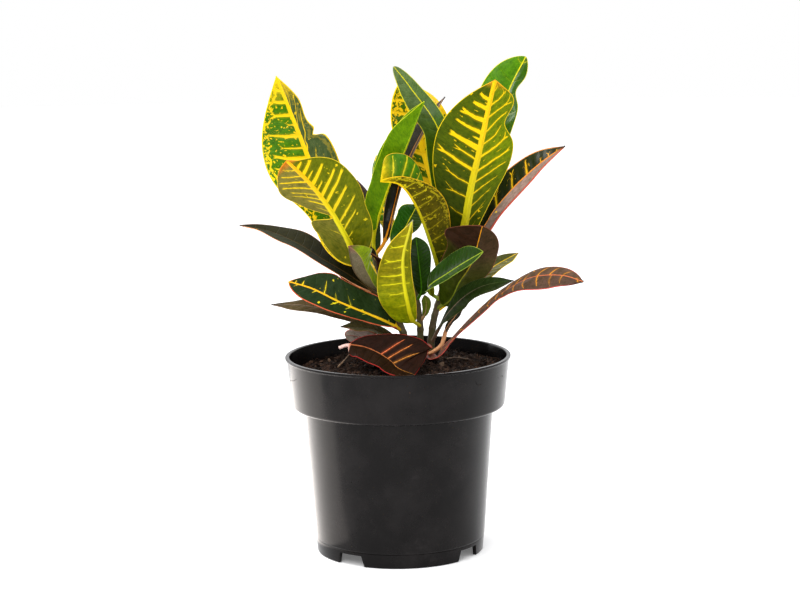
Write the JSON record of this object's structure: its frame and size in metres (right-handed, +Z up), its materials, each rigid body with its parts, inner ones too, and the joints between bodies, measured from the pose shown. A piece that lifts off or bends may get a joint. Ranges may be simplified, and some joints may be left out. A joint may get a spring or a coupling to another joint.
{
  "type": "potted croton",
  "caption": "Croton house plant with broad, waved and folded variegated leaves in a tapered black plastic nursery pot of peat.",
  "frame": {"origin": "on the pot's axis, in the plane that its feet stand on", "axes": "+Z up along the pot's axis, -Y towards the front of the plant, +X to its right"},
  "size_m": [0.2107, 0.1991, 0.3042],
  "materials": {
    "pot_plastic": "satin black moulded plastic",
    "peat": "moist coarse peat with bark crumbs and fibres",
    "stem_bark": "matt green-brown bark with leaf scars",
    "young_leaf": "satin green with yellow veins and patches",
    "old_leaf": "satin purple-brown with orange and yellow veins"
  },
  "bodies": {
    "root": {"pot": "pot_plastic", "soil": "peat", "left_stem": "stem_bark", "middle_stem": "stem_bark", "right_stem": "stem_bark", "left_leaf_01": "young_leaf", "left_leaf_02": "young_leaf", "left_leaf_03": "young_leaf", "left_leaf_04": "young_leaf", "left_leaf_05": "old_leaf", "left_leaf_06": "young_leaf", "left_leaf_07": "old_leaf", "left_leaf_08": "old_leaf", "left_leaf_09": "old_leaf", "left_leaf_10": "old_leaf", "left_leaf_11": "old_leaf", "left_leaf_12": "old_leaf", "left_leaf_13": "young_leaf", "left_leaf_14": "old_leaf", "middle_leaf_01": "young_leaf", "middle_leaf_02": "young_leaf", "middle_leaf_03": "young_leaf", "middle_leaf_04": "young_leaf", "middle_leaf_05": "young_leaf", "middle_leaf_06": "old_leaf", "right_leaf_01": "young_leaf", "right_leaf_02": "young_leaf", "right_leaf_03": "young_leaf", "right_leaf_04": "young_leaf", "right_leaf_05": "young_leaf", "right_leaf_06": "old_leaf", "right_leaf_07": "young_leaf", "right_leaf_08": "young_leaf", "right_leaf_09": "old_leaf", "right_leaf_10": "old_leaf", "right_leaf_11": "old_leaf", "right_leaf_12": "young_leaf", "right_leaf_13": "young_leaf", "right_leaf_14": "old_leaf", "fallen_leaf": "old_leaf"}
  },
  "joints": []
}
